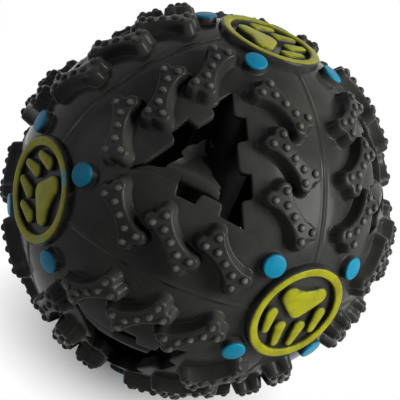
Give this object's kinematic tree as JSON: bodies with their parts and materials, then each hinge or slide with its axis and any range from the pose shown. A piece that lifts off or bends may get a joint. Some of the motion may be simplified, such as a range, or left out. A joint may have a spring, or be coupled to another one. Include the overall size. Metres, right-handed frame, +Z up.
{
  "type": "treat dispensing ball",
  "caption": "Hollow rubber pet ball with toothed windows, a hinged flap in each, a tread of small bones, raised paw badges and a sliding sound weight in a tube inside.",
  "frame": {"origin": "centre of the ball", "axes": "+Z up through the top badge, -Z through the bottom badge that it stands on, -Y through the front badge, -X through the left badge"},
  "size_m": [0.0884, 0.0884, 0.0884],
  "materials": {
    "skin_rubber": "satin, fine moulded grain",
    "yellow_paint": "soft paint on rubber, slight gloss",
    "blue_paint": "soft paint on rubber, slight gloss",
    "tube_plastic": "smooth, slight gloss",
    "cap_plastic": "satin",
    "bumper_rubber": "matt foam rubber",
    "carrier_plastic": "satin",
    "weight_steel": "turned",
    "reed_brass": "rolled strip"
  },
  "bodies": {
    "ball": {"panel_front_left_upper": "skin_rubber", "panel_front_right_upper": "skin_rubber", "panel_back_left_upper": "skin_rubber", "panel_back_right_upper": "skin_rubber", "panel_front_left_lower": "skin_rubber", "panel_front_right_lower": "skin_rubber", "panel_back_left_lower": "skin_rubber", "panel_back_right_lower": "skin_rubber", "badge_left": "skin_rubber", "badge_right": "skin_rubber", "badge_front": "skin_rubber", "badge_back": "skin_rubber", "badge_top": "skin_rubber", "badge_bottom": "skin_rubber", "paw_left": "yellow_paint", "paw_right": "yellow_paint", "paw_front": "yellow_paint", "paw_back": "yellow_paint", "paw_top": "yellow_paint", "paw_bottom": "yellow_paint", "studs_left": "blue_paint", "studs_right": "blue_paint", "studs_front": "blue_paint", "studs_back": "blue_paint", "studs_top": "blue_paint", "studs_bottom": "blue_paint", "bones_front_left_upper": "skin_rubber", "bones_front_right_upper": "skin_rubber", "bones_back_left_upper": "skin_rubber", "bones_back_right_upper": "skin_rubber", "bones_front_left_lower": "skin_rubber", "bones_front_right_lower": "skin_rubber", "bones_back_left_lower": "skin_rubber", "bones_back_right_lower": "skin_rubber", "sound_tube": "tube_plastic", "tube_cap_upper": "cap_plastic", "tube_cap_lower": "cap_plastic", "bumper_upper": "bumper_rubber", "bumper_lower": "bumper_rubber"},
    "flap_front_left_upper": {"flap_front_left_upper": "skin_rubber"},
    "flap_front_right_upper": {"flap_front_right_upper": "skin_rubber"},
    "flap_back_left_upper": {"flap_back_left_upper": "skin_rubber"},
    "flap_back_right_upper": {"flap_back_right_upper": "skin_rubber"},
    "flap_front_left_lower": {"flap_front_left_lower": "skin_rubber"},
    "flap_front_right_lower": {"flap_front_right_lower": "skin_rubber"},
    "flap_back_left_lower": {"flap_back_left_lower": "skin_rubber"},
    "flap_back_right_lower": {"flap_back_right_lower": "skin_rubber"},
    "sound_weight": {"reed_carrier": "carrier_plastic", "weight_ring": "weight_steel", "reed": "reed_brass"}
  },
  "joints": [
    {"name": "flap_hinge_front_left_upper", "type": "hinge", "parent": "ball", "child": "flap_front_left_upper", "pos_m": [-0.02648, -0.02619, 0.02018], "axis": [-0.7043, 0.7099, -0.0028], "range_deg": [-33, 20], "stiffness_Nm_per_rad": 0.02},
    {"name": "flap_hinge_front_right_upper", "type": "hinge", "parent": "ball", "child": "flap_front_right_upper", "pos_m": [0.02648, -0.02619, 0.02018], "axis": [-0.7043, -0.7099, 0.0028], "range_deg": [-33, 20], "stiffness_Nm_per_rad": 0.02},
    {"name": "flap_hinge_back_left_upper", "type": "hinge", "parent": "ball", "child": "flap_back_left_upper", "pos_m": [-0.02648, 0.02619, 0.02018], "axis": [0.7043, 0.7099, 0.0028], "range_deg": [-33, 20], "stiffness_Nm_per_rad": 0.02},
    {"name": "flap_hinge_back_right_upper", "type": "hinge", "parent": "ball", "child": "flap_back_right_upper", "pos_m": [0.02648, 0.02619, 0.02018], "axis": [0.7043, -0.7099, -0.0028], "range_deg": [-33, 20], "stiffness_Nm_per_rad": 0.02},
    {"name": "flap_hinge_front_left_lower", "type": "hinge", "parent": "ball", "child": "flap_front_left_lower", "pos_m": [-0.02648, -0.02619, -0.02018], "axis": [0.7043, -0.7099, -0.0028], "range_deg": [-33, 20], "stiffness_Nm_per_rad": 0.02},
    {"name": "flap_hinge_front_right_lower", "type": "hinge", "parent": "ball", "child": "flap_front_right_lower", "pos_m": [0.02648, -0.02619, -0.02018], "axis": [0.7043, 0.7099, 0.0028], "range_deg": [-33, 20], "stiffness_Nm_per_rad": 0.02},
    {"name": "flap_hinge_back_left_lower", "type": "hinge", "parent": "ball", "child": "flap_back_left_lower", "pos_m": [-0.02648, 0.02619, -0.02018], "axis": [-0.7043, -0.7099, 0.0028], "range_deg": [-33, 20], "stiffness_Nm_per_rad": 0.02},
    {"name": "flap_hinge_back_right_lower", "type": "hinge", "parent": "ball", "child": "flap_back_right_lower", "pos_m": [0.02648, 0.02619, -0.02018], "axis": [-0.7043, 0.7099, -0.0028], "range_deg": [-33, 20], "stiffness_Nm_per_rad": 0.02},
    {"name": "weight_slide", "type": "slide", "parent": "ball", "child": "sound_weight", "axis": [0, 0, 1], "range_m": [0, 0.0435]}
  ]
}
